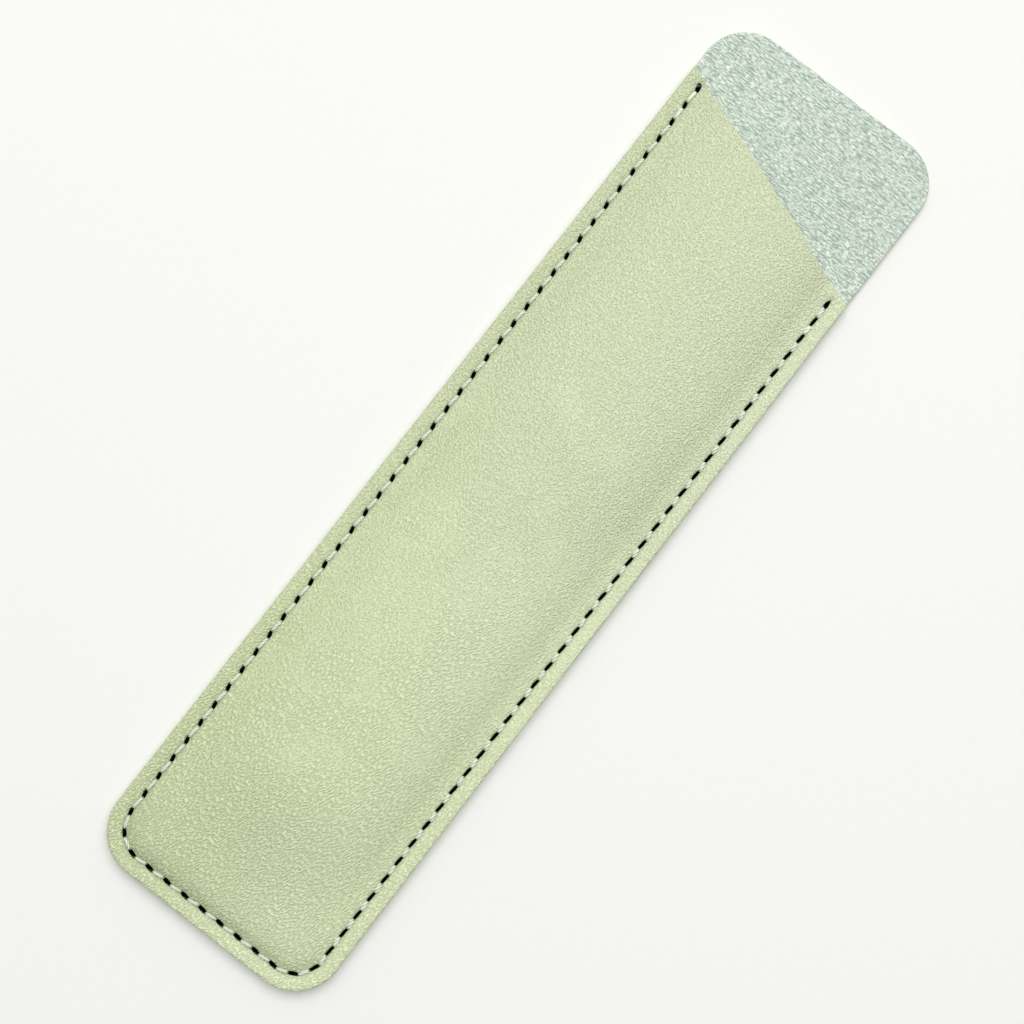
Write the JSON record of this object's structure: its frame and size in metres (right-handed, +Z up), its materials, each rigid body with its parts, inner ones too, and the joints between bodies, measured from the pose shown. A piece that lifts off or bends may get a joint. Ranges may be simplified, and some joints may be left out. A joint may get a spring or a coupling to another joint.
{
  "type": "pen sleeve",
  "caption": "Leather sleeve for one pen, with a slanted mouth, a taller suede-lined back and a stitched seam on three sides.",
  "frame": {"origin": "on the table, under the middle of the back panel", "axes": "+Y along the sleeve towards its mouth, +Z up through the front panel, +X to the side where the mouth is lower"},
  "size_m": [0.042, 0.164, 0.0089],
  "materials": {
    "leather": "fine pebble grain, matt, yellow-green",
    "suede": "brushed suede, pale mint",
    "cement": "dry contact cement",
    "thread": "waxed twisted thread, cream"
  },
  "bodies": {
    "root": {"front_panel": "leather", "front_lining": "suede", "back_panel": "leather", "back_lining": "suede", "seam_cement": "cement", "needle_thread": "thread", "bobbin_thread": "thread"}
  },
  "joints": []
}
